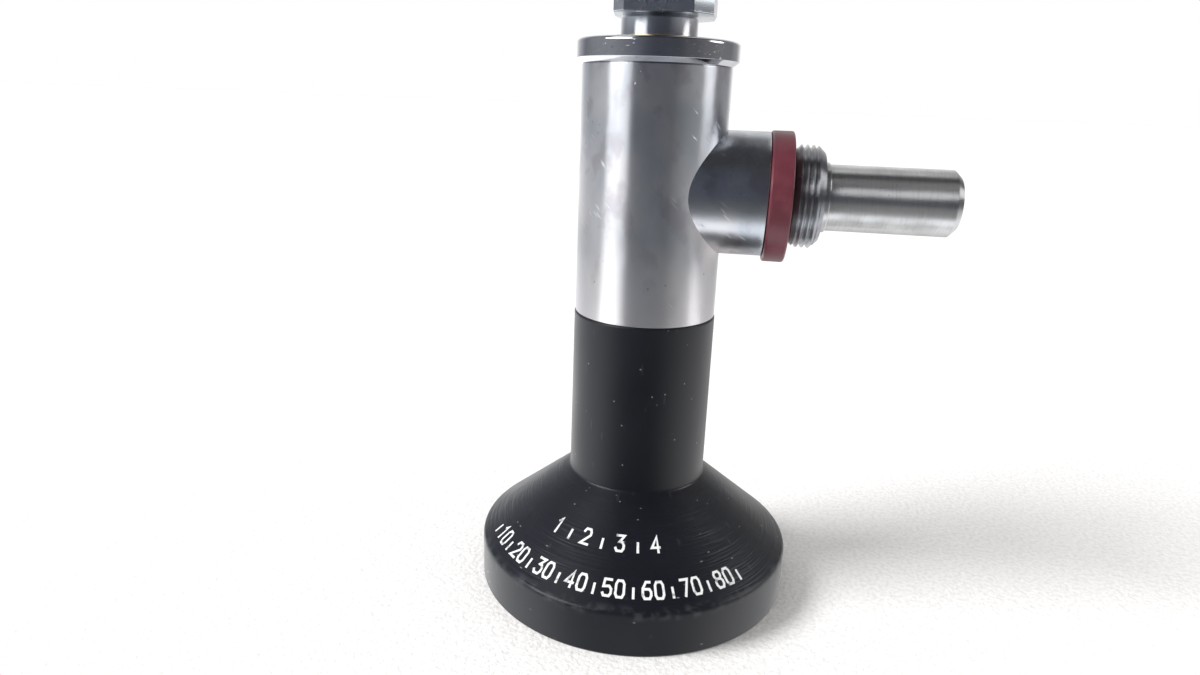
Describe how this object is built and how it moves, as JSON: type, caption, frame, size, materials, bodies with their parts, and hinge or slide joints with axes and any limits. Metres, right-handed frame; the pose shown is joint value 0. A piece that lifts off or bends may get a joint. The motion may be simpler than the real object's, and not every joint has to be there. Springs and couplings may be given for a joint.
{
  "type": "rigid endoscope",
  "caption": "Rigid rod-lens endoscope with a black eyepiece cup, steel body, side light post with a colour ring, keyed lock plate and slim shaft with a slanted tip.",
  "frame": {"origin": "centre of the eyepiece cup's rim plane, on the optical axis", "axes": "+Z along the optical axis from the eyepiece to the distal tip, +X along the light post"},
  "size_m": [0.0438, 0.032, 0.2322],
  "materials": {
    "black_shell": "satin black, fine turned rings, worn shoulder",
    "body_steel": "satin with soft vertical reflections",
    "post_steel": "fine turned satin",
    "adapter_steel": "threaded, grey",
    "tip_steel": "polished with fine turning marks",
    "collar_chrome": "mirror polish",
    "lock_steel": "polished",
    "braze": "thin braze fillet",
    "ring_plastic": "maroon, satin",
    "shaft_steel": "fine ground satin",
    "window_ring_steel": "turned",
    "sapphire": "polished",
    "lens_glass": "polished",
    "fibre": "potted fibres, polished ends",
    "seal": "moulded",
    "inner_steel": "plain",
    "inner_aluminium": "black anodised"
  },
  "bodies": {
    "root": {"eyepiece_shell": "black_shell", "window_ring": "window_ring_steel", "eyepiece_window": "sapphire", "window_gasket": "seal", "main_body": "body_steel", "body_gasket": "seal", "light_post_boss": "post_steel", "colour_ring": "ring_plastic", "post_gasket": "seal", "light_post_adapter": "adapter_steel", "light_post_spigot": "tip_steel", "fibre_ferrule": "inner_steel", "light_fibre_bundle": "fibre", "collar_ring": "collar_chrome", "lock_fitting": "lock_steel", "neck_braze": "braze", "outer_tube": "shaft_steel", "optic_tube": "inner_steel", "optic_carrier": "inner_aluminium", "carrier_nut": "inner_aluminium", "field_mask": "inner_aluminium", "train_stop": "inner_steel", "spring_washer": "inner_steel", "ocular_barrel": "inner_aluminium", "eye_lens": "lens_glass", "ocular_spacer": "inner_aluminium", "field_lens": "lens_glass", "ocular_retaining_ring": "inner_aluminium", "objective_cell": "inner_steel", "objective_lens": "lens_glass", "objective_prism": "lens_glass", "distal_window": "sapphire", "spacer_tube_1": "inner_steel", "spacer_tube_2": "inner_steel", "spacer_tube_3": "inner_steel", "spacer_tube_4": "inner_steel", "spacer_tube_5": "inner_steel", "spacer_tube_6": "inner_steel", "spacer_tube_7": "inner_steel", "rod_lens_1": "lens_glass", "rod_lens_2": "lens_glass", "rod_lens_3": "lens_glass", "rod_lens_4": "lens_glass", "rod_lens_5": "lens_glass", "rod_lens_6": "lens_glass"}
  },
  "joints": []
}
